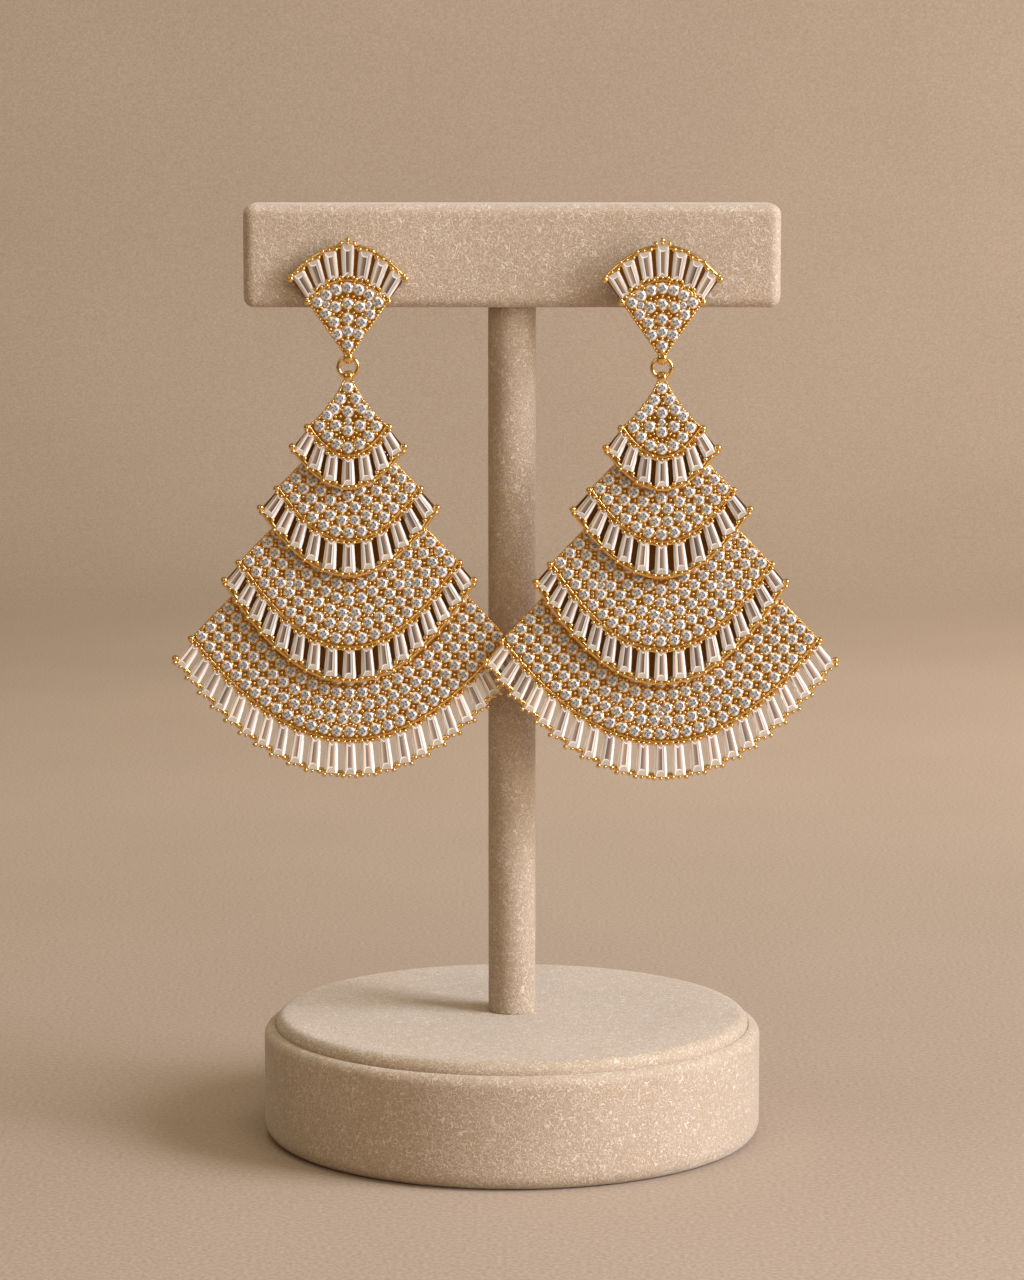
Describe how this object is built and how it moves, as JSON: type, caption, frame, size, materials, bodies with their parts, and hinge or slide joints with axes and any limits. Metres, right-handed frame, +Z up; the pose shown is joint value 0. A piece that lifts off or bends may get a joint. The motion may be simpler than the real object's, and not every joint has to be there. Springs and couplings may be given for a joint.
{
  "type": "pair of chandelier earrings on a t-bar stand",
  "caption": "Gold chandelier earrings with fans of pale stones and baguette fringes, pinned on a suede-covered T-bar stand; each drop swings from its stud.",
  "frame": {"origin": "centre of the stand's underside", "axes": "+Z up the stem, front of the earrings towards -Y, crossbar along X"},
  "size_m": [0.0928, 0.0708, 0.1325],
  "materials": {
    "gold": "polished yellow gold plate",
    "stones": "clear step-cut stones in gold rails",
    "suede": "beige short-nap suede cloth over board"
  },
  "bodies": {
    "stand_and_studs": {"stand_base": "suede", "stand_disc": "suede", "stand_stem": "suede", "stand_crossbar": "suede", "left_stud_plate": "gold", "left_stud_baguettes": "stones", "left_ear_post": "gold", "right_stud_plate": "gold", "right_stud_baguettes": "stones", "right_ear_post": "gold"},
    "left_drop": {"left_jump_ring": "gold", "left_fan_1_plate": "gold", "left_fan_1_baguettes": "stones", "left_fan_2_plate": "gold", "left_fan_2_baguettes": "stones", "left_fan_3_plate": "gold", "left_fan_3_baguettes": "stones", "left_fan_4_plate": "gold", "left_fan_4_baguettes": "stones"},
    "right_drop": {"right_jump_ring": "gold", "right_fan_1_plate": "gold", "right_fan_1_baguettes": "stones", "right_fan_2_plate": "gold", "right_fan_2_baguettes": "stones", "right_fan_3_plate": "gold", "right_fan_3_baguettes": "stones", "right_fan_4_plate": "gold", "right_fan_4_baguettes": "stones"}
  },
  "joints": [
    {"name": "left_drop_swing", "type": "hinge", "parent": "stand_and_studs", "child": "left_drop", "pos_m": [-0.0227, -0.008, 0.1114], "axis": [-1, 0, 0], "range_deg": [-4, 0]},
    {"name": "right_drop_swing", "type": "hinge", "parent": "stand_and_studs", "child": "right_drop", "pos_m": [0.0207, -0.0101, 0.1114], "axis": [-1, 0, 0], "range_deg": [0, 75]}
  ]
}
